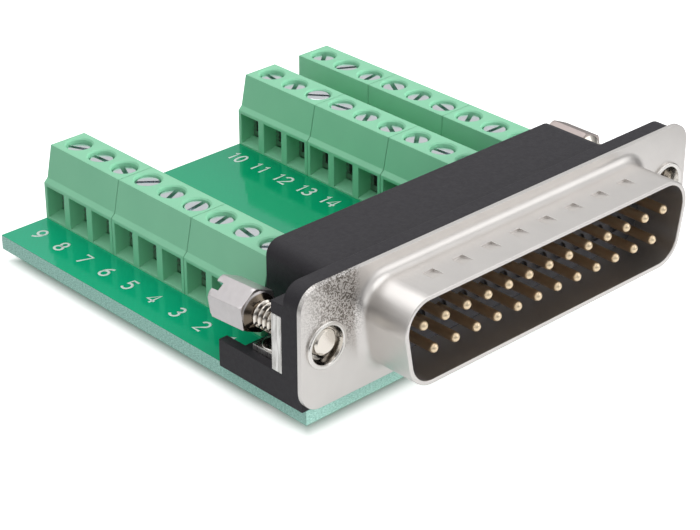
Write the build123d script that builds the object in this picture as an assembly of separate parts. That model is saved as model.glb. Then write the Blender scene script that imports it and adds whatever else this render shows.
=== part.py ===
from build123d import *
import os
from math import cos, hypot, radians, tan

# A 25-way D-shaped plug on a small board that breaks every contact out to a screw terminal.
# All lengths are millimetres. The pieces are drawn about the middle of the plug's flange face:
# +X to the right for somebody who looks into the plug, -Y out of the plug, +Z away from the board.
# They are moved to the stand frame, origin under the middle of the part, only when they are written.

# Contacts of the plug
upper_pins = 13
lower_pins = 12
pin_pitch = 2.77
pin_row_spacing = 2.84
pin_radius = 0.5
pin_reach = 5.65
pin_rear = 4.2
pin_wire_radius = 0.3
pin_bend_radius = 1.0
lower_tail_row = 7.66
tail_row_spacing = 2.54

# Drawn metal shell: how far its inside, the jackscrews and the flange's end lie beyond each other
plug_side = 2.86
screw_side = 4.04
flange_side = 3.0
flange_height = 12.55
flange_thickness = 0.5
flange_corner = 2.3
plug_height = 8.36
plug_slant = 10.0
plug_corner = 2.6
plug_depth = 5.9
plug_wall = 0.45
plug_root_radius = 1.0
plug_lip_radius = 0.12
dent_count = 8
dent_pitch = 3.81
dent_setback = 2.4
dent_length = 1.45
dent_width = 1.4
dent_depth = 0.24

# Moulded insulator behind the shell
insulator_edge = 0.5
insulator_thickness = 2.35
insulator_corner = 1.8
insulator_face = 0.6
insulator_face_pocket = 0.35
pocket_radius = 0.85
hood_side = 0.32
hood_top = 4.3
hood_edge_radius = 1.5
hood_wall = 1.5
hood_front_wall = 2.35
hood_roof = 1.7
hood_rear_wall = 1.2
hood_tail_gap = 0.5
wing_thickness = 1.65
wing_top = 3.7
wing_rib = 0.6
tray_floor = 2.15
tray_wall = 1.0
tray_wall_height = 2.85
tray_wall_reach = 3.55
tray_stop_thickness = 1.0

# Angle brackets, eyelets, rivets and jackscrews at the two ends
bracket_thickness = 1.33
bracket_top = 2.4
bracket_foot_rear = 8.35
bracket_inner_radius = 0.8
bracket_outer_radius = 1.6
eyelet_bore_radius = 1.7
eyelet_radius = 2.0
eyelet_flare_radius = 2.35
eyelet_flare = 0.28
eyelet_lip_radius = 0.13
eyelet_mouth_wall = 0.42
eyelet_mouth_depth = 0.9
rivet_inset = 1.75
rivet_radius = 0.9
rivet_bore_radius = 0.5
rivet_head_radius = 1.4
rivet_head = 0.2
jackscrew_thread_radius = 1.42
jackscrew_tip_radius = 1.05
jackscrew_tip_chamfer = 0.35
jackscrew_tip_reach = 0.05
jackscrew_groove_radius = 1.1
jackscrew_groove_front = 7.7
jackscrew_groove_length = 0.7
jackscrew_thread_runout = 0.3
jackscrew_cone_radius = 1.9
jackscrew_cone_length = 0.7
jackscrew_hex_length = 4.7
jackscrew_hex_flats = 4.06
jackscrew_hex_turn = 36.0
jackscrew_hex_chamfer = 0.14
jackscrew_slot_width = 0.85
jackscrew_slot_depth = 0.9

# How each jackscrew hangs in its eyelet, left then right: tilted about a point inside, drawn back, sunk
jackscrew_droops = (3.6, 0.0)
jackscrew_setbacks = (0.0, 1.4)
jackscrew_sinks = (0.0, 0.12)
droop_pivot = 4.0

# Printed circuit board
board_drop = 6.32
board_thickness = 1.6
board_inset = 1.02
board_gap = 0.05
tail_length = 1.45

# Screw terminals: three rows of three three-way blocks
poles_per_block = 3
blocks_per_row = 3
pole_pitch = 3.81
row_gap = 0.97
row_insets = (9.15, 15.1, 7.25)
row_board_sides = (-1, 1, 1)
row_entry_sides = (-1, -1, 1)
block_gap = 0.07
entry_reach = 3.41
ledge_reach = 2.94
shoulder_reach = 2.22
back_reach = 2.09
ledge_low = 4.15
ledge_high = 4.6
housing_height = 8.1
entry_width = 2.9
entry_sill = 0.22
entry_top = 3.82
entry_depth = 1.75
entry_ramp_rise = 0.45
chamber_back_wall = 0.6
chamber_floor = 0.24
chamber_roof = 1.25
screw_hole_radius = 1.38
screw_hole_lead = 0.16

# Rising cage, contact strip and screw of one pole
cage_wall = 0.4
cage_floor = 0.72
cage_floor_thickness = 0.6
cage_nut_bottom = 3.9
cage_nut_top = 4.85
cage_rib_depth = 0.08
cage_ribs = 5
strip_thickness = 0.35
strip_top = 3.6
strip_side_gap = 0.1
terminal_tail_radius = 0.45
terminal_tail_setback = 0.3
terminal_screw_radius = 1.0
terminal_head_radius = 1.28
terminal_head_height = 1.0
terminal_slot_width = 0.5
terminal_slot_depth = 0.65

# How far each screw's head lies below its housing's top, and how its slot is turned, pole 1 first
screw_depths = (
    (0.35, 0.30, 0.40, 0.25, 0.40, 0.30, 0.45, 0.40, 0.45),
    (0.30, 0.40, 0.35, 0.40, 0.35, 0.30, 0.12, 0.40, 0.45),
    (0.30, 0.30, 0.35, 0.30, 0.35, 0.30, 0.35, 0.35, 0.40),
)
slot_turns = (
    (-45, 80, 15, 10, 25, 140, 65, 95, 115),
    (20, 95, 40, 60, 30, 100, 130, 35, 80),
    (15, 0, 30, 75, 20, 60, 10, 150, 40),
)

# Clearances
slip = 0.03
screw_tip_gap = 0.05
seat_gap = 0.05
running_gap = 0.05
solder_radius = 0.85
solder_height = 0.8

# Places that follow from the sizes above
plug_width = (upper_pins - 1) * pin_pitch + 2 * plug_side
screw_offset = plug_width / 2 + screw_side
flange_width = 2 * (screw_offset + flange_side)
hood_width = plug_width + 2 * hood_side
board_width = flange_width - 2 * board_inset
board_top = -board_drop
board_under = board_top - board_thickness
tail_end = board_under - tail_length
insulator_front = flange_thickness
insulator_rear = insulator_front + insulator_thickness
insulator_half = flange_width / 2 - insulator_edge
wing_rear = insulator_rear + wing_thickness
bracket_front = wing_rear - bracket_thickness
tray_top = board_top + tray_wall_height
bracket_seat = board_top + tray_floor
rivet_place = bracket_foot_rear - rivet_inset
upper_tail_row = lower_tail_row + tail_row_spacing
hood_cavity_front = insulator_rear + hood_front_wall
hood_cavity_rear = upper_tail_row + pin_wire_radius + hood_tail_gap
hood_rear = hood_cavity_rear + hood_rear_wall
hood_cavity_top = hood_top - hood_roof
jackscrew_cone_front = jackscrew_groove_front + jackscrew_groove_length
jackscrew_hex_front = jackscrew_cone_front + jackscrew_cone_length
row_axes = [side * (board_width / 2 - inset) for side, inset in zip(row_board_sides, row_insets)]
row_front = hood_rear + row_gap
row_length = pole_pitch * poles_per_block * blocks_per_row
board_front = flange_thickness + board_gap
board_rear = row_front + row_length
chamber_top = housing_height - chamber_roof
terminal_screw_length = housing_height - max(max(row) for row in screw_depths) - strip_top - screw_tip_gap
stand = Location((0, (plug_depth - board_rear) / 2, -tail_end))
row_names = ("left", "centre", "right")
cut = 1.0


def block_between(x, y, z):
    """A box from three pairs of limits."""
    size = [high - low for low, high in (x, y, z)]
    middle = [(high + low) / 2 for low, high in (x, y, z)]
    return Pos(*middle) * Box(*size)


def face_plane(y):
    """The plane square to the plug's axis at y; what is drawn on it extrudes out of the plug."""
    return Plane(origin=(0, y, 0), x_dir=(1, 0, 0), z_dir=(0, -1, 0))


def rod(x, z, radius, y_front, y_rear):
    """A round rod along Y."""
    return extrude(face_plane(y_rear) * Pos(x, z) * Circle(radius), y_rear - y_front)


def post(x, y, radius, z_low, z_high):
    """A round post along Z."""
    return Pos(x, y, (z_low + z_high) / 2) * Cylinder(radius, z_high - z_low)


def turned(outline):
    """A turned piece about the Y axis, from (radius, y) points."""
    points = [(radius, y, 0) for radius, y in outline]
    return revolve(make_face(Polyline(*points, close=True)), Axis.Y)


def plug_outline(grow=0.0):
    """The plug's D outline, grown by a wall or shrunk by a clearance."""
    slope = tan(radians(plug_slant))
    spread = grow / cos(radians(plug_slant))
    half_top = plug_width / 2 + grow * slope + spread
    half_bottom = plug_width / 2 - (plug_height + grow) * slope + spread
    half_height = plug_height / 2 + grow
    corners = [(-half_bottom, -half_height), (half_bottom, -half_height),
               (half_top, half_height), (-half_top, half_height)]
    outline = make_face(Polyline(*corners, close=True))
    return fillet(outline.vertices(), plug_corner + grow)


def pin_places():
    """The (x, z) of every contact, upper row first."""
    upper = [((k - (upper_pins - 1) / 2) * pin_pitch, pin_row_spacing / 2) for k in range(upper_pins)]
    lower = [((k - (lower_pins - 1) / 2) * pin_pitch, -pin_row_spacing / 2) for k in range(lower_pins)]
    return upper, lower


def dent(x):
    """The cutter of one grip dent in the plug's top wall: steep behind, running out to the front."""
    surface = plug_height / 2 + plug_wall
    start, rear, front = x - dent_width / 2, -dent_setback, -dent_setback - dent_length
    wedge = Polyline((start, rear, surface + cut), (start, rear, surface - dent_depth),
                     (start, front, surface), (start, front, surface + cut), close=True)
    return extrude(make_face(wedge), dent_width, dir=(1, 0, 0))


def make_shell():
    """The drawn shell: flange, rounded root and D-shaped shroud with its grip dents."""
    sheet = RectangleRounded(flange_width, flange_height, flange_corner)
    shell = extrude(face_plane(flange_thickness) * sheet, flange_thickness)
    shell += extrude(face_plane(0) * plug_outline(plug_wall), plug_depth)
    reach_x = flange_width / 2 - cut
    reach_z = flange_height / 2 - cut / 2
    root = [e for e in shell.edges() if abs(e.center().Y) < slip
            and abs(e.center().X) < reach_x and abs(e.center().Z) < reach_z]
    shell = fillet(root, plug_root_radius)
    opening_depth = plug_depth + flange_thickness + 2 * cut
    shell -= extrude(face_plane(flange_thickness + cut) * plug_outline(), opening_depth)
    lip = [e for e in shell.edges() if abs(e.center().Y + plug_depth) < slip]
    shell = fillet(lip, plug_lip_radius)
    for k in range(dent_count):
        cutter = dent((k - (dent_count - 1) / 2) * dent_pitch)
        shell -= cutter
        shell -= mirror(cutter, about=Plane.XY)
    for side in (-1, 1):
        shell -= rod(side * screw_offset, 0, eyelet_radius + slip, -cut, flange_thickness + cut)
    return shell


def make_insulator():
    """The black moulding: flange, plug core, rear hood, wings and the two bracket trays."""
    top = flange_height / 2 - insulator_edge
    height = top - board_top
    plate = Pos(0, board_top + height / 2) * Rectangle(2 * insulator_half, height)
    corners = plate.vertices().sort_by(Axis.Y)[-2:]
    body = extrude(face_plane(insulator_rear) * fillet(corners, insulator_corner), insulator_thickness)
    core = extrude(face_plane(insulator_front) * plug_outline(-slip), insulator_front + insulator_face)
    outside = hood_width / 2
    hood = block_between((-outside, outside), (insulator_rear, hood_rear), (board_top, hood_top))
    hood_edges = [e for e in hood.edges().filter_by(Axis.Y) if e.center().Z > hood_top - slip]
    body += core + fillet(hood_edges, hood_edge_radius)
    for side in (-1, 1):
        body += end_mount(side)
        x = side * screw_offset
        body -= rod(x, 0, eyelet_radius + slip, 0, wing_rear + cut)
        body -= post(x, rivet_place, rivet_radius + slip, board_top - cut, bracket_seat + cut)
    inside = outside - hood_wall
    body -= block_between((-inside, inside), (hood_cavity_front, hood_cavity_rear),
                          (board_top - cut, hood_cavity_top))
    for row in pin_places():
        for x, z in row:
            body -= rod(x, z, pin_radius + slip, -insulator_face - cut, hood_cavity_front + cut)
            body -= rod(x, z, pocket_radius, -insulator_face - cut, insulator_face_pocket - insulator_face)
    return body


def end_mount(side):
    """One end of the moulding: the wing around the bracket and the tray that its foot lies in."""
    near, far = hood_width / 2 - slip, insulator_half
    wing = block_between((near, far), (insulator_rear, wing_rear), (board_top, wing_top))
    floor = block_between((near, far), (insulator_rear, bracket_foot_rear + tray_stop_thickness),
                          (board_top, bracket_seat))
    wall = block_between((far - tray_wall, far), (insulator_rear, bracket_foot_rear + tray_wall_reach),
                         (board_top, tray_top))
    stop = block_between((near, far), (bracket_foot_rear + seat_gap, bracket_foot_rear + tray_stop_thickness),
                         (board_top, tray_top))
    pocket = block_between((near + wing_rib, far + cut), (bracket_front, wing_rear + cut),
                           (tray_top, bracket_top + seat_gap))
    pocket += block_between((near + wing_rib, far - tray_wall), (bracket_front, wing_rear + cut),
                            (bracket_seat, bracket_top + seat_gap))
    mount = wing - pocket + floor + wall + stop
    return mount if side > 0 else mirror(mount, about=Plane.YZ)


def nearest_edge(edges, y, z):
    """The edge along X that lies at y and z."""
    return min(edges, key=lambda edge: hypot(edge.center().Y - y, edge.center().Z - z))


def make_bracket(side):
    """One plated angle bracket: upright with its shoulder over the tray wall, and foot in the tray."""
    near = hood_width / 2 + wing_rib + seat_gap
    inside = insulator_half - tray_wall - seat_gap
    front, rear = bracket_front + slip, wing_rear
    profile = Polyline((0, front, bracket_seat), (0, bracket_foot_rear, bracket_seat),
                       (0, bracket_foot_rear, bracket_seat + bracket_thickness),
                       (0, rear, bracket_seat + bracket_thickness), (0, rear, bracket_top),
                       (0, front, bracket_top), close=True)
    angle = extrude(Pos(near, 0, 0) * make_face(profile), inside - near, dir=(1, 0, 0))
    bend = angle.edges().filter_by(Axis.X)
    angle = fillet(nearest_edge(bend, front, bracket_seat), bracket_outer_radius)
    bend = angle.edges().filter_by(Axis.X)
    angle = fillet(nearest_edge(bend, rear, bracket_seat + bracket_thickness), bracket_inner_radius)
    angle += block_between((inside - cut, insulator_half), (front, rear), (tray_top + seat_gap, bracket_top))
    angle -= rod(screw_offset, 0, eyelet_radius + slip, front - cut, rear + cut)
    angle -= post(screw_offset, rivet_place, rivet_radius + slip, bracket_seat - cut,
                  bracket_seat + bracket_thickness + cut)
    return angle if side > 0 else mirror(angle, about=Plane.YZ)


def make_eyelet(side):
    """The eyelet that holds shell, moulding and bracket together: a round lip and a funnel at each end."""
    rear = wing_rear
    mouth = eyelet_flare_radius - eyelet_mouth_wall
    neck = eyelet_mouth_depth - eyelet_flare
    outline = [(mouth, -eyelet_flare), (eyelet_flare_radius, -eyelet_flare), (eyelet_flare_radius, 0),
               (eyelet_radius, 0), (eyelet_radius, rear), (eyelet_flare_radius, rear),
               (eyelet_flare_radius, rear + eyelet_flare), (mouth, rear + eyelet_flare),
               (eyelet_bore_radius, rear - neck), (eyelet_bore_radius, neck)]
    eyelet = turned(outline)
    rims = (-eyelet_flare, rear + eyelet_flare)
    lips = [e for e in eyelet.edges().filter_by(GeomType.CIRCLE)
            if min(abs(e.arc_center.Y - rim) for rim in rims) < slip]
    return Pos(side * screw_offset, 0, 0) * fillet(lips, eyelet_lip_radius)


def make_rivets():
    """The two hollow rivets that pin the bracket feet to the board."""
    foot_top = bracket_seat + bracket_thickness
    rivets = []
    for side in (-1, 1):
        x = side * screw_offset
        rivet = post(x, rivet_place, rivet_radius, board_under - rivet_head, foot_top + rivet_head)
        for low in (board_under - rivet_head, foot_top):
            head = post(x, rivet_place, rivet_head_radius, low, low + rivet_head)
            outside = head.faces().sort_by(Axis.Z)[-1 if low == foot_top else 0]
            rivet += fillet(outside.edges(), rivet_head / 2)
        rivet -= post(x, rivet_place, rivet_bore_radius, board_under - cut, foot_top + cut)
        rivets.append(rivet)
    return Compound(children=rivets)


def make_jackscrew(side):
    """A captive hex jackscrew that droops in its eyelet; its rear end has a driver slot."""
    hex_rear = jackscrew_hex_front + jackscrew_hex_length
    outline = [(0, -jackscrew_tip_reach), (jackscrew_tip_radius, -jackscrew_tip_reach),
               (jackscrew_thread_radius, jackscrew_tip_chamfer - jackscrew_tip_reach),
               (jackscrew_thread_radius, jackscrew_groove_front - jackscrew_thread_runout),
               (jackscrew_groove_radius, jackscrew_groove_front),
               (jackscrew_groove_radius, jackscrew_cone_front),
               (jackscrew_cone_radius, jackscrew_hex_front), (0, jackscrew_hex_front)]
    corner = jackscrew_hex_flats / 2 / cos(radians(30))
    hexagon = face_plane(hex_rear) * RegularPolygon(corner, 6, rotation=jackscrew_hex_turn)
    blank = rod(0, 0, corner, jackscrew_hex_front, hex_rear)
    blank = chamfer(blank.edges().filter_by(GeomType.CIRCLE), jackscrew_hex_chamfer)
    head = extrude(hexagon, jackscrew_hex_length) & blank
    slot = block_between((-corner, corner), (hex_rear - jackscrew_slot_depth, hex_rear + cut),
                         (-jackscrew_slot_width / 2, jackscrew_slot_width / 2))
    screw = turned(outline) + (head - Rot(0, -90 - jackscrew_hex_turn, 0) * slot)
    which = 0 if side < 0 else 1
    pivot = Pos(side * screw_offset, droop_pivot + jackscrew_setbacks[which], -jackscrew_sinks[which])
    return pivot * Rot(-jackscrew_droops[which], 0, 0) * Pos(0, -droop_pivot, 0) * screw


def make_pins(row, tail_y):
    """One row of plug contacts: domed pin, wire, right-angle bend and solder tail."""
    pins = []
    for x, z in row:
        nose = -pin_reach + pin_radius
        pin = rod(x, z, pin_radius, nose, pin_rear) + Pos(x, nose, z) * Sphere(pin_radius)
        path = FilletPolyline((x, pin_rear - cut, z), (x, tail_y, z), (x, tail_y, tail_end),
                              radius=pin_bend_radius)
        wire = sweep(face_plane(pin_rear - cut) * Pos(x, z) * Circle(pin_wire_radius), path=path)
        pins.append(pin + wire)
    return Compound(children=pins)


def make_board():
    """The board with a hole for every solder tail and rivet."""
    half = board_width / 2
    board = block_between((-half, half), (board_front, board_rear), (board_under, board_top))
    tail_rows = zip(pin_places(), (upper_tail_row, lower_tail_row))
    drills = [(x, y, pin_wire_radius + running_gap) for row, y in tail_rows for x, z in row]
    drills += [(x, y, terminal_tail_radius + running_gap) for x, y in terminal_tails()]
    drills += [(side * screw_offset, rivet_place, rivet_radius + slip) for side in (-1, 1)]
    for x, y, radius in drills:
        board -= post(x, y, radius, board_under - cut, board_top + cut)
    return board


def pole_places(row):
    """The screw axes of one row of terminals, pole 1 next to the plug."""
    count = poles_per_block * blocks_per_row
    return [(row_axes[row], row_front + (k + 0.5) * pole_pitch) for k in range(count)]


def terminal_tails():
    """The solder tails of all terminals, a little behind their screws."""
    return [(x - row_entry_sides[row] * terminal_tail_setback, y) for row in range(len(row_axes))
            for x, y in pole_places(row)]


def facing(row, piece, y):
    """Turns a terminal piece drawn with its entry towards -X to its row's side, and moves it there."""
    turned_piece = piece if row_entry_sides[row] < 0 else mirror(piece, about=Plane.YZ)
    return Pos(row_axes[row], y, board_top) * turned_piece


def make_housing():
    """A three-way terminal housing about its middle pole, its entries towards -X."""
    outline = Polyline((-entry_reach, 0, 0), (-entry_reach, 0, ledge_low), (-ledge_reach, 0, ledge_high),
                       (-shoulder_reach, 0, housing_height), (back_reach, 0, housing_height),
                       (back_reach, 0, 0), close=True)
    length = pole_pitch * poles_per_block - block_gap
    housing = Pos(0, -length / 2, 0) * extrude(make_face(outline), length, dir=(0, 1, 0))
    half = entry_width / 2
    recess_end = -entry_reach + entry_depth
    ramp = Polyline((-entry_reach - cut, 0, entry_sill), (-entry_reach, 0, entry_sill),
                    (recess_end, 0, entry_sill + entry_ramp_rise), (recess_end, 0, entry_top),
                    (-entry_reach - cut, 0, entry_top), close=True)
    entry = Pos(0, -half, 0) * extrude(make_face(ramp), entry_width, dir=(0, 1, 0))
    chamber = block_between((recess_end - slip, back_reach - chamber_back_wall), (-half, half),
                            (chamber_floor, chamber_top))
    well = post(0, 0, screw_hole_radius, chamber_top - cut, housing_height + cut)
    lead = Pos(0, 0, housing_height - screw_hole_lead / 2) * Cone(
        screw_hole_radius, screw_hole_radius + screw_hole_lead, screw_hole_lead)
    tail = post(terminal_tail_setback, 0, terminal_tail_radius + running_gap, -cut, chamber_floor + cut)
    pole = entry + chamber + well + lead + tail
    for k in range(poles_per_block):
        housing -= Pos(0, (k - (poles_per_block - 1) / 2) * pole_pitch, 0) * pole
    return housing


def make_cage():
    """One pole's cage, drawn open: a ribbed ring round the wire space, threaded for the screw on top."""
    half = entry_width / 2 - seat_gap
    front = -entry_reach + entry_depth + seat_gap
    rear = back_reach - chamber_back_wall - strip_thickness - 2 * seat_gap
    window_floor = cage_floor + cage_floor_thickness
    cage = block_between((front, rear), (-half, half), (cage_floor, cage_nut_top))
    cage -= block_between((front - cut, rear + cut), (cage_wall - half, half - cage_wall),
                          (window_floor, cage_nut_bottom))
    rib_pitch = (cage_nut_bottom - window_floor) / cage_ribs
    for k in range(cage_ribs):
        height = window_floor + (k + 0.5) * rib_pitch
        cage -= block_between((front - cut, front + cage_rib_depth), (-half - cut, half + cut),
                              (height - rib_pitch / 4, height + rib_pitch / 4))
    return cage - post(0, 0, terminal_screw_radius + running_gap, cage_nut_bottom - cut, cage_nut_top + cut)


def make_contact():
    """One pole's contact strip: plate under the screw's tip, upright behind the cage, foot and tail."""
    half = entry_width / 2 - seat_gap - cage_wall - strip_side_gap
    front = -entry_reach + entry_depth + seat_gap
    rear = back_reach - chamber_back_wall - seat_gap / 2
    upright = rear - strip_thickness
    foot = chamber_floor + seat_gap / 2
    strip = block_between((front, rear), (-half, half), (strip_top - strip_thickness, strip_top))
    strip += block_between((upright, rear), (-half, half), (foot, strip_top))
    strip += block_between((terminal_tail_setback - terminal_tail_radius, rear), (-half, half),
                           (foot, foot + strip_thickness))
    return strip + post(terminal_tail_setback, 0, terminal_tail_radius, tail_end - board_top, foot + slip)


def make_terminal_screw(depth, turn):
    """One slotted clamp screw, its head a little below the housing's top."""
    top = housing_height - depth
    head = post(0, 0, terminal_head_radius, top - terminal_head_height, top)
    head = chamfer(head.edges().sort_by(Axis.Z)[-1], 0.12)
    shank = post(0, 0, terminal_screw_radius, top - terminal_screw_length, top - slip)
    shank = chamfer(shank.edges().sort_by(Axis.Z)[0], 0.2)
    half = terminal_head_radius + cut
    slot = block_between((-half, half), (-terminal_slot_width / 2, terminal_slot_width / 2),
                         (top - terminal_slot_depth, top + cut))
    return head + shank - Rot(0, 0, turn) * slot


def make_solder():
    """The solder cones under the board, one round each tail."""
    cones = []
    tail_rows = zip(pin_places(), (upper_tail_row, lower_tail_row))
    tails = [(x, y, pin_wire_radius) for row, y in tail_rows for x, z in row]
    tails += [(x, y, terminal_tail_radius) for x, y in terminal_tails()]
    for x, y, radius in tails:
        wide = radius + solder_radius - terminal_tail_radius
        cone = Pos(x, y, board_under - solder_height / 2) * Cone(radius + 2 * slip, wide, solder_height)
        cones.append(cone - post(x, y, radius + slip, tail_end - cut, board_under + cut))
    return Compound(children=cones)


def main():
    """Writes every sub-part to its own file in the stand frame."""
    upper, lower = pin_places()
    parts = {
        "board": make_board(), "plug_shell": make_shell(), "plug_insulator": make_insulator(),
        "upper_pins": make_pins(upper, upper_tail_row), "lower_pins": make_pins(lower, lower_tail_row),
        "foot_rivets": make_rivets(), "solder_joints": make_solder(),
    }
    for side, name in ((-1, "left"), (1, "right")):
        parts[f"{name}_bracket"] = make_bracket(side)
        parts[f"{name}_eyelet"] = make_eyelet(side)
        parts[f"{name}_jackscrew"] = make_jackscrew(side)
    housing, cage, contact = make_housing(), make_cage(), make_contact()
    for row, row_name in enumerate(row_names):
        poles = pole_places(row)
        for block in range(blocks_per_row):
            first = block * poles_per_block
            ys = [y for x, y in poles[first:first + poles_per_block]]
            parts[f"{row_name}_housing_{block + 1}"] = facing(row, housing, sum(ys) / poles_per_block)
            clamps = [facing(row, piece, y) for y in ys for piece in (cage, contact)]
            parts[f"{row_name}_clamps_{block + 1}"] = Compound(children=clamps)
        for pole, (x, y) in enumerate(poles):
            screw = make_terminal_screw(screw_depths[row][pole], slot_turns[row][pole])
            parts[f"{row_name}_screw_{pole + 1}"] = Pos(x, y, board_top) * screw
    os.makedirs("parts", exist_ok=True)
    for name, part in parts.items():
        export_step(stand * part, f"parts/{name}.step")
    print(len(parts), "sub-parts written")


main()
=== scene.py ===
# %% [markdown]
# # A D-shaped plug broken out to screw terminals
# The real object is a small green board that carries a 25-way plug at its front edge and three rows of
# screw terminals behind it. Its solid pieces come measured from the drawing office and stay as they are.
# This lesson gives them their finishes, cuts the two jackscrew threads, prints the pin numbers, lays the
# solder, and lights the whole as a small product on a white table.

# %% Load the measured pieces
from math import cos, pi, radians, sin, tan

import bmesh
import bpy
from mathutils import Matrix, Vector


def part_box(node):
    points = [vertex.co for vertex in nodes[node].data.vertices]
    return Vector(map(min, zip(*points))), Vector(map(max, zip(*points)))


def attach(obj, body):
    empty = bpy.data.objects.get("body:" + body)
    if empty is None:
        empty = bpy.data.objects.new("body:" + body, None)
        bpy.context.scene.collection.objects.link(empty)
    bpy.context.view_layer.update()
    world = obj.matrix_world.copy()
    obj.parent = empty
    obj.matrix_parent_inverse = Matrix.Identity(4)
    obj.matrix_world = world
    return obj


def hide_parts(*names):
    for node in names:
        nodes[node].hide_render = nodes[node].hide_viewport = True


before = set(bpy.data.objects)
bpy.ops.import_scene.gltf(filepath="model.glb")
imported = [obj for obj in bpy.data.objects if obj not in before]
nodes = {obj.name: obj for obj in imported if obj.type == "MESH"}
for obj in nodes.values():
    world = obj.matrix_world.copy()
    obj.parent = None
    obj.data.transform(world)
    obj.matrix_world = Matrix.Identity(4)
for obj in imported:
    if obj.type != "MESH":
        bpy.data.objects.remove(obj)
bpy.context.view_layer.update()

MM = 0.001
scene = bpy.context.scene


def in_mm(place):
    """A place in rounded millimetres, for printing."""
    return [round(c / MM, 2) for c in place]


# %% [markdown]
# The plug's flange is the natural place to measure from, because both standards that fix the sizes, the
# plug's and the terminals', meet there. `spot` turns millimetres from the middle of its front face into the
# metres that the measured pieces use. The shroud is 5.9 mm deep, so the flange lies that far behind its lip.

# %% Measure from the middle of the flange
shroud_depth = 5.9
shell_low, shell_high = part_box("plug_shell")
flange = Vector((0, shell_low.y + shroud_depth * MM, (shell_low.z + shell_high.z) / 2))
board_low, board_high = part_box("board")


def spot(x, y, z):
    """A place in metres from millimetres right, back and up from the flange's middle."""
    return flange + Vector((x, y, z)) * MM


def set_out(name, data):
    """A new object in the scene."""
    made = bpy.data.objects.new(name, data)
    scene.collection.objects.link(made)
    return made


print("flange middle in mm:", in_mm(flange))

# %% [markdown]
# A product photograph of so small a thing is taken with a long lens from well away. Here the long lens was
# found by fitting the known contact pitch and flange size to the picture: 110 mm on a 36 mm wide frame,
# 216 mm away, looking down by 28 degrees from the left of the plug.

# %% Stand the camera
turn, tilt, distance = radians(-43.33), radians(28.36), 216.2
half_pixel = 0.5 / 700
look_at = spot(-3.91, 17.77, -6.21)
towards_camera = Vector((sin(turn) * cos(tilt), -cos(turn) * cos(tilt), sin(tilt)))
camera = set_out("camera", bpy.data.cameras.new("camera"))
scene.camera = camera
camera.location = look_at + towards_camera * distance * MM
camera.rotation_euler = (-towards_camera).to_track_quat("-Z", "Y").to_euler()
camera.data.sensor_width = 36.0
camera.data.lens = 110.19
camera.data.shift_x = half_pixel
camera.data.clip_start = 0.005
print("camera in mm:", in_mm(camera.location))

# %% [markdown]
# Small electrical parts are photographed in a tent of white cloth, so that bright metal has something plain
# to mirror. Large soft lamps over a pale world do the same here: one above, one from the camera's left and
# one from the right. The lamp that fills the plug's mouth is strong, and a mirror would show it as a white
# patch, so glossy rays don't see it.

# %% Hang the lamps
scene.view_settings.view_transform = "Standard"


def hang_lamp(name, place, aim, size, watts, mirrored=True):
    """A square soft lamp at place that shines at aim, in mm from the flange; mirrors may show it."""
    lamp = set_out(name, bpy.data.lights.new(name, "AREA"))
    lamp.location = spot(*place)
    lamp.rotation_euler = (spot(*aim) - lamp.location).to_track_quat("-Z", "Y").to_euler()
    lamp.data.size = size * MM
    lamp.data.energy = watts
    lamp.visible_glossy = mirrored
    print(name, "at", place, "gives", watts, "W")


hang_lamp("lamp_above", (-20, 80, 340), (0, 20, 0), 460, 0.66)
hang_lamp("lamp_left", (-320, -120, 130), (0, 10, 0), 200, 0.05)
hang_lamp("lamp_right", (220, -260, 130), (0, 0, 0), 320, 0.28)
hang_lamp("lamp_mouth", (200, -280, 110), (0, 0, 0), 200, 0.85, mirrored=False)

# %% [markdown]
# Shader maths reads best as plain sums. `Value` wraps one output of a node, and its signs add the Math nodes.
# A `Recipe` is one tree of nodes: its `node` method makes every other kind of node from a type, its settings
# and what its sockets get. A `Finish` is the recipe of one material, so those below are a few lines each.

# %% Write shader maths as sums
class Value:
    """One output of a shader node; each sign between two of them adds a Math node."""

    def __init__(self, recipe, socket):
        self.recipe, self.socket = recipe, socket

    def __add__(self, other):
        return self.recipe.maths("ADD", self, other)

    def __sub__(self, other):
        return self.recipe.maths("SUBTRACT", self, other)

    def __rsub__(self, other):
        return self.recipe.maths("SUBTRACT", other, self)

    def __mul__(self, other):
        return self.recipe.maths("MULTIPLY", self, other)

    def __truediv__(self, other):
        return self.recipe.maths("DIVIDE", self, other)

    def __rtruediv__(self, other):
        return self.recipe.maths("DIVIDE", other, self)

    def __pow__(self, other):
        return self.recipe.maths("POWER", self, other)

    def __gt__(self, other):
        return self.recipe.maths("GREATER_THAN", self, other)

    def __lt__(self, other):
        return self.recipe.maths("LESS_THAN", self, other)

    def __abs__(self):
        return self.recipe.maths("ABSOLUTE", self)

    __radd__ = __add__
    __rmul__ = __mul__


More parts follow.
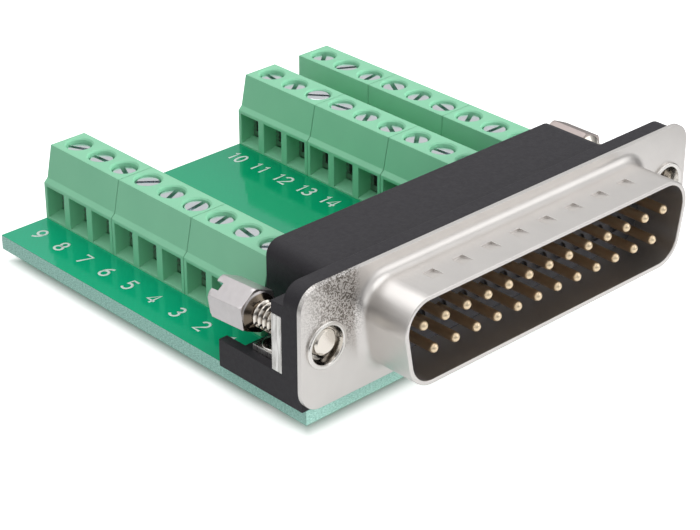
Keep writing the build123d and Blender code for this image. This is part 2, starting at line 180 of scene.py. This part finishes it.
class Recipe:
    """A tree of shader nodes."""

    def __init__(self, tree):
        self.tree = tree

    def feed(self, socket, value):
        """Links a value to a socket, or sets a number or a colour on it."""
        if isinstance(value, Value):
            self.tree.links.new(value.socket, socket)
        elif isinstance(value, tuple) and len(value) == 3 and socket.type == "RGBA":
            socket.default_value = (*value, 1)
        else:
            socket.default_value = value

    def node(self, kind, settings=None, sockets=None, out=0):
        """One node of a kind, its settings made first, then its sockets fed; gives one output."""
        made = self.tree.nodes.new("ShaderNode" + kind)
        for name, value in (settings or {}).items():
            setattr(made, name, value)
        for name, value in (sockets or {}).items():
            self.feed(made.inputs[name], value)
        return Value(self, made.outputs[out])

    def maths(self, operation, *numbers):
        """A Math node on one or two values."""
        return self.node("Math", {"operation": operation}, dict(enumerate(numbers)))

    def mix(self, share, first, second):
        """From the first colour to the second."""
        return self.node("Mix", {"data_type": "RGBA"}, {0: share, 6: first, 7: second}, out=2)

    def ease(self, value, low, high):
        """0 below low, 1 above high, and a soft step between."""
        return self.node("MapRange", {"interpolation_type": "SMOOTHSTEP"},
                         {"Value": value, "From Min": low, "From Max": high})

    def rays(self):
        """1 for the rays that the camera, a mirror and glass send out."""
        return [self.node("LightPath", out=f"Is {kind} Ray") for kind in ("Camera", "Glossy", "Transmission")]


class Finish(Recipe):
    """A material and the recipe of its nodes; lengths in its recipe are millimetres."""

    def __init__(self, name, **uniform):
        self.material = bpy.data.materials.new(name)
        self.material.use_nodes = True
        super().__init__(self.material.node_tree)
        self.shader = self.tree.nodes["Principled BSDF"]
        self.vary(**uniform)
        self.place = self.node("TexCoord", out="Object")

    def vary(self, **sockets):
        """Feeds the shader's sockets, whose names are written with _ for a space."""
        for socket, value in sockets.items():
            self.feed(self.shader.inputs[socket.replace("_", " ")], value)

    def axes(self):
        """X, Y and Z in mm from the flange's middle."""
        moved = self.node("VectorMath", {"operation": "SUBTRACT"}, {0: self.place, 1: tuple(flange)})
        scaled = self.node("VectorMath", {"operation": "SCALE"}, {0: moved, "Scale": 1 / MM})
        return [self.node("SeparateXYZ", None, {0: scaled}, out=k) for k in range(3)]

    def grain(self, size, detail=2.0, stretch=(1, 1, 1)):
        """Soft noise from 0 to 1 whose grains are about size mm, longer along an axis with a low stretch."""
        scaled = self.node("VectorMath", {"operation": "MULTIPLY"},
                           {0: self.place, 1: tuple(s / (size * MM) for s in stretch)})
        return self.node("TexNoise", None, {"Vector": scaled, "Scale": 1.0, "Detail": detail})

    def relief(self, height, depth, edge=0.0):
        """The surface raised by height times depth mm, its sharp edges eased over edge mm."""
        sockets = {"Height": height, "Distance": depth * MM, "Strength": 1.0}
        if edge:
            sockets["Normal"] = self.node("Bevel", {"samples": 4}, {"Radius": edge * MM})
        return self.node("Bump", None, sockets)


def give(finish, *names):
    """Gives the finish to measured pieces."""
    for name in names:
        slots = nodes[name].data.materials
        slots.clear()
        slots.append(finish.material)
    print(finish.material.name, "on", len(names), "pieces")


# %% [markdown]
# The table is white and catches a soft shadow. A camera needs the paper to burn out to pure white, while the
# object shouldn't get more light for it, so the paper adds a glow for camera and mirror rays only. The glow
# fades out close to the board, which paints a dark contact shadow along its edges over the cast one. Bright
# metal mirrors the darker room past the paper.

# %% Lay the table
def grey(level):
    """A colour with no hue."""
    return (level, level, level)


def flat_sheet(name, half):
    """A square sheet in one face, level with the ground, its middle under the object."""
    mesh = bpy.data.meshes.new(name)
    corners = [(sx * half, sy * half, 0) for sx, sy in ((-1, -1), (1, -1), (1, 1), (-1, 1))]
    mesh.from_pydata(corners, [], [(0, 1, 2, 3)])
    return set_out(name, mesh)


paper = Finish("white_table", Roughness=0.6, Specular_IOR_Level=0.2, Emission_Strength=1.0)
camera_ray, mirror_ray, _ = paper.rays()
x, y, z = paper.axes()
away = paper.ease((x * x + y * y) ** 0.5, 30.0, 100.0)
in_mirror = paper.mix(away, grey(0.82), grey(0.12))
bounced = paper.mix(mirror_ray, grey(0.6), in_mirror)
board_half = (board_high - board_low) / 2 / MM
board_middle = ((board_low + board_high) / 2 - flange) / MM
beside = paper.maths("MAXIMUM", abs(x) - board_half.x, abs(y - board_middle.y) - board_half.y)
# No glow close to the board: a painted shadow along its edges, on top of the cast shadow.
glow = paper.mix(paper.ease(beside, -2.2, 0.4), grey(0.0), grey(0.66))
mirrored_glow = paper.mix(mirror_ray * (1 - away), grey(0.0), grey(0.24))
paper.vary(Base_Color=paper.mix(camera_ray, bounced, grey(0.82)),
           Emission_Color=paper.mix(camera_ray, mirrored_glow, glow))
table_half = 2.0
table = flat_sheet("table", table_half)
table.data.materials.append(paper.material)
print("table is", 2 * table_half, "m wide, and the board's middle is at", in_mm(board_middle * MM))

# %% [markdown]
# The tent is the world: pale for what it lights, white where it is seen. Metal that mirrors only white looks
# like plaster, so what mirrors see of the tent is darker low down in front, where its mouth is open.

# %% Hang the tent
world = bpy.data.worlds.new("white_tent")
scene.world = world
world.use_nodes = True
tent = Recipe(world.node_tree)
background = tent.tree.nodes["Background"]
camera_ray, mirror_ray, glass_ray = tent.rays()
direction = tent.node("TexCoord", out="Generated")
east, north, up = [tent.node("SeparateXYZ", None, {0: direction}, out=k) for k in range(3)]
low_down = 1 - tent.ease(up, 0.02, 0.42)
in_front = tent.ease(0.25 * east - north, -0.2, 0.7)
shed, seen = 0.45, 1.0
mirrored = 0.72 - 0.6 * low_down * in_front
brightness = shed + (seen - shed) * camera_ray + (mirrored - shed) * (mirror_ray + glass_ray)
tent.feed(background.inputs["Color"], grey(1.0))
tent.feed(background.inputs["Strength"], brightness)
print("tent hung:", len(tent.tree.nodes), "nodes")

# %% [markdown]
# The terminal housings are moulded in a soft green plastic with a satin skin. The colour is even; what gives
# it away as moulded is a faint cloudiness, a very fine grain, and edges that catch the light because no
# mould makes them sharp. A Bevel node eases the edges in the shading only, which keeps the measured shape.

# %% Mix the green plastic
rows = ("left", "centre", "right")


def in_rows(piece, count):
    """The names of one kind of piece, numbered from 1 in each of the three rows."""
    return [f"{row}_{piece}_{k + 1}" for row in rows for k in range(count)]


green = Finish("green_plastic", IOR=1.5)
green.vary(Base_Color=green.mix(green.grain(4.0), (0.26, 0.66, 0.42), (0.3, 0.72, 0.46)),
           Roughness=0.36 + 0.14 * green.grain(0.25),
           Normal=green.relief(green.grain(0.12, 3.0), 0.004, 0.14))
give(green, *in_rows("housing", 3))

# %% [markdown]
# The plug's moulding is black glass-filled plastic from a spark-eroded mould: matt, with a grain that can
# just be seen, and slightly paler where light skims it. Two sizes of grain lie over each other. The face that
# the contacts stand in, deep in the shell, is painted a paler grey than the hood: painted light through the
# mouth.

# %% Mix the black plastic
black = Finish("black_plastic", IOR=1.4)
x, y, z = black.axes()
fine, coarse = black.grain(0.14, 3.0), black.grain(0.5)
moulded = black.mix(fine, (0.012, 0.0108, 0.0138), (0.028, 0.0254, 0.0318))
# The contacts' face, in front of y = -0.2 mm, is painted paler grey: painted light through the plug's mouth.
black.vary(Base_Color=black.mix(y < -0.2, moulded, (0.05, 0.05, 0.056)),
           Roughness=0.46 + 0.2 * coarse,
           Normal=black.relief(fine + 0.5 * coarse, 0.02, 0.12))
give(black, "plug_insulator")

# %% [markdown]
# The shell is drawn from steel sheet and nickel plated. The plate is warm white and satin. Where the sheet
# was stretched most, from the shroud's root towards the left eyelet, it has a fine orange peel, and there its
# grains are painted dark: painted shade and painted reflection of the shroud. The recipe measures how far a
# point lies outside the shroud's D, and keeps the peel and its painted shade to the flange's upper left.

# %% Plate the shell
nickel = Finish("satin_nickel", Metallic=1.0)
x, y, z = nickel.axes()
d_half_width, d_slope, d_half_height = 19.2, 0.176, 4.63
root = nickel.maths("MAXIMUM", abs(x) - d_half_width - d_slope * z, abs(z) - d_half_height)
near_root, left_end = 1 - nickel.ease(root, 2.0, 8.0), 1 - nickel.ease(x, -20.5, -19.0)
stretched_and_shaded = near_root * left_end * nickel.ease(y, -1.0, -0.3) * nickel.ease(z, -2.5, 2.5)
peel, drawn = nickel.grain(0.14), nickel.grain(0.4, 3.0, (1, 0.12, 1))
unshaded_grains = nickel.ease(peel, 0.42, 0.56)
toned = nickel.mix(nickel.grain(3.0), (0.68, 0.655, 0.635), (0.76, 0.735, 0.71))
# Dark grains near the shroud's root: painted shade and painted reflection of the shroud, mixed into the
# plate.
nickel.vary(Base_Color=nickel.mix(stretched_and_shaded * (1 - unshaded_grains), toned, (0.2, 0.18, 0.16)),
            Roughness=0.31 + 0.1 * drawn - 0.12 * stretched_and_shaded,
            Normal=nickel.relief(peel * (0.12 + 1.6 * stretched_and_shaded) + 0.3 * drawn, 0.022, 0.08))
give(nickel, "plug_shell")

# %% [markdown]
# Turned and pressed hardware is plated too. The eyelets and rivets are bright. The brackets are cut from
# strip and keep its drawn streaks, so their grain is stretched upwards.

# %% Plate the eyelets and brackets
bright = Finish("bright_nickel", Metallic=1.0)
bright.vary(Base_Color=bright.mix(bright.grain(1.5), (0.7, 0.68, 0.65), (0.82, 0.8, 0.77)),
            Roughness=0.1 + 0.12 * bright.grain(0.5, 3.0),
            Normal=bright.relief(bright.grain(0.3, 3.0), 0.004, 0.05))
give(bright, "left_eyelet", "right_eyelet", "foot_rivets")

strip = Finish("bracket_strip", Metallic=1.0)
streaks = strip.grain(0.22, 3.0, (1, 1, 0.12))
strip.vary(Base_Color=strip.mix(strip.ease(streaks, 0.35, 0.65), (0.5, 0.49, 0.47), (0.84, 0.83, 0.81)),
           Roughness=0.18 + 0.2 * streaks,
           Normal=strip.relief(streaks, 0.012, 0.12))
give(strip, "left_bracket", "right_bracket")

# %% [markdown]
# The jackscrews' heads are satin, because the hexagonal bar they are turned from is dull before it is plated.
# Their threads and cones are smooth. The crests and the tip keep the bright plate, while the thread's valleys
# and
# the left cone are painted dark brown: painted shade in the valleys, and on the cone a painted reflection of
# the black moulding. The right one's head is painted darker, as painted shade, and its cone is painted
# bright, as a painted highlight. A point's colour depends on how far it is along its screw and from its axis,
# so the recipe
# knows where the loose screws lie: the left one hangs 3.6 degrees low in its eyelet, and the right one is
# drawn back by 1.4 mm and rests on the bottom of its bore.

# %% Plate the jackscrews
screw_offset, pivot, cone_front, hex_front = 23.52, 4.0, 8.55, 9.1
droop, drawn_back, sink = radians(3.6), 1.4, 0.12
satin = Finish("satin_bar", Metallic=1.0)
x, y, z = satin.axes()
on_left, on_right = x < 0, x > 0
length = y - drawn_back * on_right
sag = on_left * (y - pivot) * -tan(droop) - sink * on_right
reach = ((abs(x) - screw_offset) ** 2 + (z - sag) ** 2) ** 0.5
head = satin.ease(length, hex_front - 0.08, hex_front + 0.02)
crests = satin.ease(reach, 1.14, 1.36) * (1 - satin.ease(length, cone_front - 0.15, cone_front))
# Dark brown in the thread's valleys and on the left cone: painted shade and painted reflection of the
# moulding.
tip, right_cone_highlight = length < 0.3, on_right * (length > 7.5)
# The right screw's cone is painted bright: a painted highlight.
shank_shade = satin.mix(crests + tip + right_cone_highlight, (0.16, 0.13, 0.1), (0.82, 0.77, 0.7))
bar_and_right_shade = satin.mix(satin.grain(0.8), (0.6, 0.57, 0.575), (0.7, 0.67, 0.675))
# The right screw's head is painted darker than the left: painted shade.
bar_and_right_shade = satin.mix(on_right, bar_and_right_shade, (0.42, 0.36, 0.345))
satin.vary(Base_Color=satin.mix(head, shank_shade, bar_and_right_shade),
           Roughness=0.12 + head * (0.16 + 0.16 * satin.grain(0.3, 3.0)),
           Normal=satin.relief(satin.grain(0.15, 3.0), 0.004, 0.08))
print(satin.material.name, "ready for the jackscrews:", len(satin.tree.nodes), "nodes")

# %% [markdown]
# The contacts are brass with a flash of gold that is thickest on the domed tips, where they meet the socket.
# Towards the root the plate thins, and the shaft mirrors the black moulding around it.

# %% Gild the contacts
gilt = Finish("gilt_brass", Metallic=1.0)
x, y, z = gilt.axes()
dome = 1 - gilt.ease(y, -5.6, -4.9)
gilt.vary(Base_Color=gilt.mix(dome, (0.74, 0.55, 0.36), (0.88, 0.72, 0.5)),
          Roughness=0.32 + 0.08 * gilt.grain(0.4),
          Normal=gilt.relief(gilt.grain(0.2), 0.002))
give(gilt, "upper_pins", "lower_pins")

# %% [markdown]
# Cages and contact strips are tin plated, dull grey; the clamp screws are zinc plated steel. Each screw head
# was faced on a lathe, so fine rings run round its middle. The rings need each screw's own centre: along a
# row it repeats with the 3.81 mm pitch, and across there are only three rows.

# %% Plate cages and screws
tin = Finish("dull_tin", Metallic=1.0)
tin.vary(Base_Color=tin.mix(tin.grain(0.6, 3.0), (0.36, 0.35, 0.33), (0.56, 0.55, 0.52)),
         Roughness=0.32 + 0.2 * tin.grain(0.3),
         Normal=tin.relief(tin.grain(0.15), 0.006, 0.05))
give(tin, *in_rows("clamps", 3))

pole_pitch, ring_rate = 3.81, 46.0
zinc = Finish("zinc_plate", Metallic=1.0)
x, y, z = zinc.axes()
first_screws = [(sum(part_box(f"{row}_screw_1"), Vector()) / 2 - flange) / MM for row in rows]
across = abs(x - first_screws[0].x)
for screw in first_screws[1:]:
    across = zinc.maths("MINIMUM", across, abs(x - screw.x))
cycle = zinc.maths("FRACT", (y - first_screws[0].y) / pole_pitch + 10.5)
along = (cycle - 0.5) * pole_pitch
rings = zinc.maths("SINE", (across * across + along * along) ** 0.5 * ring_rate)
zinc.vary(Base_Color=zinc.mix(zinc.grain(0.8), (0.66, 0.71, 0.74), (0.82, 0.86, 0.88)),
          Roughness=0.08 + 0.08 * zinc.grain(0.4, 3.0),
          Normal=zinc.relief(rings + 4.0 * zinc.grain(0.9), 0.0011, 0.06))
give(zinc, *in_rows("screw", 9))

# %% [markdown]
# The board is glass cloth in resin under a glossy green coat, whose weave just shows. The coat is painted
# darker at the plug's end and on the board's right part, round the centre and right rows: painted shade from
# the plug and the housings. What it mirrors is tinted green by the coat. A cut edge has no coat and shows the
# pale, faintly green laminate, so the recipe asks how near a point is to the two faces.

# %% Coat the board
laminate = Finish("board_green", IOR=1.5, Specular_IOR_Level=1.0, Specular_Tint=(0.05, 1, 0.8),
                  Coat_Roughness=0.02)
x, y, z = laminate.axes()
thread_rate = 9.0
face = laminate.ease(abs(z - board_middle.z), board_half.z - 0.04, board_half.z - 0.02)
weave = laminate.maths("SINE", x * thread_rate) * laminate.maths("SINE", y * thread_rate)
cloth = 0.5 + 0.06 * weave + 0.25 * (laminate.grain(2.5) - 0.5)
plain_coat = laminate.mix(cloth, (0.003, 0.43, 0.2), (0.005, 0.53, 0.28))
# Darker coat at the plug's end and round the centre and right rows: painted shade.
coat = laminate.mix(laminate.ease(y, 6.0, 26.0), (0.003, 0.34, 0.155), plain_coat)
coat = laminate.mix(laminate.ease(x, -12.0, -8.0), coat, (0.003, 0.385, 0.172))
flecks = laminate.ease(laminate.grain(0.25, 3.0, (1, 1, 3)), 0.3, 0.7)
edge = laminate.mix(flecks, (0.28, 0.53, 0.45), (0.6, 0.86, 0.78))
laminate.vary(Base_Color=laminate.mix(face, edge, coat),
              Roughness=0.55 - 0.47 * face,
              Coat_Weight=0.1 * face,
              Normal=laminate.relief(weave * 0.3 + laminate.grain(0.8), 0.004, 0.06))
give(laminate, "board")

# %% [markdown]
# Each jackscrew is turned from hexagonal bar: a slotted, chamfered head, a short cone, and a 4-40 thread.
# A thread is a ridge that climbs one pitch for each turn, so the shank is made as a sleeve of rings whose
# radius follows the angle as well as the length.

# %% Cut the thread
thread_pitch, thread_depth, thread_radius = 0.635, 0.3, 1.42
flank_slope, crest_flat = 2.6, 0.15
tip_front, tip_radius, tip_length, run_in = -0.05, 1.05, 0.35, 0.3
cone_small, cone_large = 1.25, 1.95
sides = 120
angles = [2 * pi * k / sides for k in range(sides)]


def shank(length, angle):
    """The threaded shank's radius at a length behind the flange."""
    if length > cone_front:
        return cone_small + (length - cone_front) * (cone_large - cone_small) / (hex_front - cone_front)
    turns = (length / thread_pitch - angle / (2 * pi)) % 1
    past_tip = length - tip_front
    valley = min(1, max(0, abs(turns - 0.5) * flank_slope - crest_flat)) * min(1, past_tip / run_in)
    return min(thread_radius - thread_depth * valley,
               tip_radius + past_tip * (thread_radius - tip_radius) / tip_length)


step = 0.045
steps_to_head = int((hex_front - tip_front) / step)
lengths = [tip_front + step * k for k in range(steps_to_head)] + [hex_front]
screw_rings = [(length, [shank(length, angle) for angle in angles]) for length in lengths]
print("shank rings:", len(screw_rings))

# %% [markdown]
# The head is rings too: at each angle the radius is the smaller of the hexagon's and the chamfer's. Rings
# close to each end carry the chamfer, and the flats between them need none.

# %% Mill the hexagon
hex_rear, hex_flats, hex_turn, hex_chamfer, hex_shoulder = 13.8, 4.06, radians(36.0), 0.14, 0.5
corner_radius = hex_flats / 2 / cos(pi / 6)


def hexagon(angle):
    """How far the hexagon reaches at an angle."""
    off = (angle - hex_turn + pi / 6) % (pi / 3) - pi / 6
    return hex_flats / 2 / cos(pi / 6 - abs(off))


for inset in (0, hex_chamfer, hex_shoulder):
    limit = corner_radius - hex_chamfer + min(hex_chamfer, inset)
    screw_rings.append((hex_front + inset, [min(limit, hexagon(angle)) for angle in angles]))
for inset in (hex_shoulder, hex_chamfer, 0):
    limit = corner_radius - hex_chamfer + min(hex_chamfer, inset)
    screw_rings.append((hex_rear - inset, [min(limit, hexagon(angle)) for angle in angles]))
print("jackscrew rings:", len(screw_rings), "corner radius:", round(corner_radius, 2), "mm")

# %% [markdown]
# A skin over the rings makes the solid screw. The driver slot is sawn across the head, so a thin blade takes
# it away with a Boolean modifier, applied at once. Each screw is then hung in its eyelet as it lies there.

# %% Saw the slots and hang the screws
slot_width, slot_depth = 0.85, 0.9


def cast(name, built):
    """A new object from a mesh in the making."""
    mesh = bpy.data.meshes.new(name)
    built.to_mesh(mesh)
    built.free()
    return set_out(name, mesh)


def bridge(built, low, high):
    """Faces between two rings with as many corners each."""
    for k in range(len(low)):
        after = (k + 1) % len(low)
        built.faces.new((low[k], low[after], high[after], high[k]))


def skin(name, rings):
    """A closed skin over rings of (length, radii) in mm about the Y axis."""
    built = bmesh.new()
    loops = [[built.verts.new((r * cos(angle) * MM, length * MM, r * sin(angle) * MM))
              for r, angle in zip(radii, angles)] for length, radii in rings]
    for low, high in zip(loops, loops[1:]):
        bridge(built, low, high)
    built.faces.new(loops[0][::-1])
    built.faces.new(loops[-1])
    bmesh.ops.recalc_face_normals(built, faces=built.faces)
    return cast(name, built)


def saw_blade(size, centre):
    """A block for sawing, in mm."""
    built = bmesh.new()
    scale = Matrix.Diagonal((*[s * MM for s in size], 1))
    bmesh.ops.create_cube(built, size=1.0, matrix=Matrix.Translation(Vector(centre) * MM) @ scale)
    return cast("saw", built)


def finished_mesh(piece):
    """A mesh of the piece as its modifiers or its bevel leave it."""
    bpy.context.view_layer.update()
    return bpy.data.meshes.new_from_object(piece.evaluated_get(bpy.context.evaluated_depsgraph_get()))


for side, name, angle, setback, drop in ((-1, "left", droop, 0, 0), (1, "right", 0, drawn_back, sink)):
    screw = skin(f"{name}_threaded_jackscrew", screw_rings)
    saw = saw_blade((corner_radius * 3, 2 * slot_depth, slot_width), (0, hex_rear, 0))
    saw.matrix_world = Matrix.Rotation(-pi / 2 - hex_turn, 4, "Y")
    slot = screw.modifiers.new("slot", "BOOLEAN")
    slot.object, slot.operation, slot.solver = saw, "DIFFERENCE", "EXACT"
    sawn = finished_mesh(screw)
    screw.modifiers.clear()
    screw.data = sawn
    bpy.data.objects.remove(saw)
    eyelet = Matrix.Translation(spot(side * screw_offset, pivot + setback, -drop))
    screw.data.transform(eyelet @ Matrix.Rotation(-angle, 4, "X") @ Matrix.Translation((0, -pivot * MM, 0)))
    screw.data.materials.append(satin.material)
    screw.data.shade_smooth()
    screw.data.set_sharp_from_angle(angle=radians(32))
    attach(screw, f"{name}_jackscrew")
    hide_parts(f"{name}_jackscrew")
    drawn_low, drawn_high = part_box(f"{name}_jackscrew")
    print(screw.name, len(screw.data.polygons), "faces; drawn box mm", in_mm(drawn_low), in_mm(drawn_high))

# %% [markdown]
# The pin numbers are screen printed in white beside each terminal, about 2 mm high, all to be read from the
# left edge of the board. Board lettering is drawn in plain strokes of one width, so a text object in an
# ordinary font looks too fine. Here each figure is a few strokes on a grid 4 wide and 6 high.

# %% Draw the figures in strokes
def arc(x, y, across, up, start, end, steps=14):
    """Points on an ellipse from one angle in degrees to another."""
    turns = [radians(start + (end - start) * k / steps) for k in range(steps + 1)]
    return [(x + across * cos(turn), y + up * sin(turn)) for turn in turns]


figure_wide, figure_high = 4, 6
six = [(3.2, 5.9), (2.0, 5.3), (1.0, 4.2), (0.5, 2.9)] + arc(2.05, 1.8, 1.65, 1.8, 165, -195, 18)
strokes = {
    "0": [arc(2, 3, 1.5, 3, 90, -270, 20)],
    "1": [[(1.2, 4.8), (2.4, 6), (2.4, 0)]],
    "2": [arc(2, 4.3, 1.65, 1.7, 170, -40) + [(0.3, 0), (3.8, 0)]],
    "3": [arc(1.9, 4.6, 1.45, 1.4, 150, -85) + arc(1.9, 1.6, 1.7, 1.6, 85, -150)],
    "4": [[(2.9, 0), (2.9, 6), (0.2, 1.7), (3.9, 1.7)]],
    "5": [[(3.5, 6), (0.8, 6), (0.55, 3.4)] + arc(1.9, 1.95, 1.7, 1.95, 125, -140)],
    "6": [six],
    "7": [[(0.3, 6), (3.7, 6), (1.5, 0)]],
    "8": [arc(2, 4.5, 1.35, 1.5, 90, -270, 18), arc(2, 1.55, 1.7, 1.55, 90, -270, 18)],
    "9": [[(figure_wide - x, figure_high - y) for x, y in six]],
}
print("figures drawn:", "".join(strokes))

# %% [markdown]
# A curve with a round bevel makes each stroke a wire with round ends. Flattened until it stands 12
# micrometres over the board, the thickness of the ink, it is a printed line.

# %% Print the pin numbers
ink = Finish("white_ink", Roughness=0.5)
ink.vary(Base_Color=ink.mix(ink.grain(0.2, 3.0), (0.78, 0.94, 0.88), (0.88, 0.96, 0.93)))
number_height, stroke_width, figure_advance = 2.0, 0.3, 4.4
number_pitch, first_number = 3.75, 14.85
flattened, lift = 0.06, 0.003
grid = (number_height - stroke_width) / figure_high


def print_number(text, x_low, y):
    """One number whose feet stand at x_low, read towards the plug; its middle at y."""
    curve = bpy.data.curves.new("figures", "CURVE")
    curve.dimensions, curve.bevel_depth, curve.bevel_resolution = "3D", stroke_width / 2 * MM, 1
    curve.use_fill_caps = True
    start = -((len(text) - 1) * figure_advance + figure_wide) / 2
    for place, figure in enumerate(text):
        for points in strokes[figure]:
            spline = curve.splines.new("POLY")
            spline.points.add(len(points) - 1)
            for point, (across, up) in zip(spline.points, points):
                point.co = ((start + place * figure_advance + across) * grid * MM,
                            (up * grid + stroke_width / 2) * MM, 0, 1)
    figures = set_out("figures", curve)
    mesh = finished_mesh(figures)
    bpy.data.objects.remove(figures)
    laid = Matrix.Rotation(-pi / 2, 4, "Z") @ Matrix.Diagonal((1, 1, flattened, 1))
    mesh.transform(Matrix.Translation(spot(x_low, y, board_middle.z + board_half.z + lift)) @ laid)
    return mesh


def join_meshes(name, meshes):
    """One object from several meshes."""
    built = bmesh.new()
    for mesh in meshes:
        built.from_mesh(mesh)
    return cast(name, built)


left_feet, centre_feet, right_feet = -23.5, 3.5, 22.6
number_places = [first_number + k * number_pitch for k in range(9)]
numbers = [(str(k + 1), left_feet, y) for k, y in enumerate(number_places)]
numbers += [(str(18 - k), centre_feet, y) for k, y in enumerate(number_places)]
numbers += [(str(19 + k), right_feet, y) for k, y in enumerate(number_places)]
legend = join_meshes("pin_numbers", [print_number(*number) for number in numbers])
legend.data.materials.append(ink.material)
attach(legend, "adapter")
print("numbers printed:", len(numbers))

# %% [markdown]
# Under the board each tail stands in a cone of solder with a hollow flank, because molten metal climbs both
# the wire and the pad. The drawn cones are straight, so each gets a turned skin with a hollow flank in its
# place: the loose parts of the drawn mesh say where the tails are and how wide each joint is.

# %% Find the drawn solder joints
def loose_parts(mesh):
    """The corners of each loose part of a mesh."""
    built = bmesh.new()
    built.from_mesh(mesh)
    left, parts = set(built.verts), []
    while left:
        part, front = [], [left.pop()]
        while front:
            vert = front.pop()
            part.append(vert.co.copy())
            for edge in vert.link_edges:
                other = edge.other_vert(vert)
                if other in left:
                    left.remove(other)
                    front.append(other)
        parts.append(part)
    built.free()
    return parts


joints = []
for corners in loose_parts(nodes["solder_joints"].data):
    low = Vector([min(c[k] for c in corners) for k in range(3)])
    high = Vector([max(c[k] for c in corners) for k in range(3)])
    middle = (low + high) / 2
    lowest = [c for c in corners if c.z < low.z + 0.05 * MM]
    narrow = max(((c.x - middle.x) ** 2 + (c.y - middle.y) ** 2) ** 0.5 for c in lowest)
    joints.append((middle.x, middle.y, low.z, high.z, narrow, (high.x - low.x) / 2))
print("solder joints:", len(joints), "heights in mm:", sorted({round((j[3] - j[2]) / MM, 2) for j in joints}))

# %% [markdown]
# A pad is a thin ring of copper that solder has wetted, a little wider than its joint. Joints and pads are
# turned shapes, so one helper spins a profile of radius and height round each tail.

# %% Lay the solder and the pads
pad_margin, pad_height = 0.22 * MM, 0.03 * MM


def spun(name, profiles, around=28):
    """One object from (x, y, [(radius, height), ...]) in metres, each closed round its own axis."""
    built = bmesh.new()
    for x, y, profile in profiles:
        loops = [[built.verts.new((x + r * cos(2 * pi * k / around), y + r * sin(2 * pi * k / around), h))
                  for k in range(around)] for r, h in profile]
        for low, high in zip(loops, loops[1:] + loops[:1]):
            bridge(built, low, high)
    bmesh.ops.recalc_face_normals(built, faces=built.faces)
    return cast(name, built)


def hollow_flank(low, high, narrow, wide, steps=9):
    """The profile of a joint from its tip up to the board, then back inside."""
    shares = [k / steps for k in range(steps + 1)]
    flank = [(narrow + (wide - narrow) * share ** 2.4, low + (high - low) * share) for share in shares]
    return flank + [(narrow * 0.8, high), (narrow * 0.8, low)]


def flat_ring(high, wide):
    """The profile of a pad, from inside its joint to a margin round it."""
    inner, outer, low = wide * 0.5, wide + pad_margin, high - pad_height
    return [(inner, high), (outer, high), (outer, low), (inner, low)]


fillets = spun("solder_fillets", [(x, y, hollow_flank(*sizes)) for x, y, *sizes in joints])
pads = spun("solder_pads", [(x, y, flat_ring(high, wide)) for x, y, _, high, _, wide in joints])
solder = Finish("bright_solder", Metallic=1.0)
solder.vary(Base_Color=solder.mix(solder.grain(0.7), (0.6, 0.6, 0.61), (0.75, 0.75, 0.76)),
            Roughness=0.14 + 0.16 * solder.grain(0.4, 3.0),
            Normal=solder.relief(solder.grain(0.3), 0.01))
for piece in (fillets, pads):
    piece.data.shade_smooth()
    piece.data.materials.append(solder.material)
    piece.data.set_sharp_from_angle(angle=radians(40))
    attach(piece, "adapter")
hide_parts("solder_joints")
print("solder laid:", len(fillets.data.polygons) + len(pads.data.polygons), "faces")
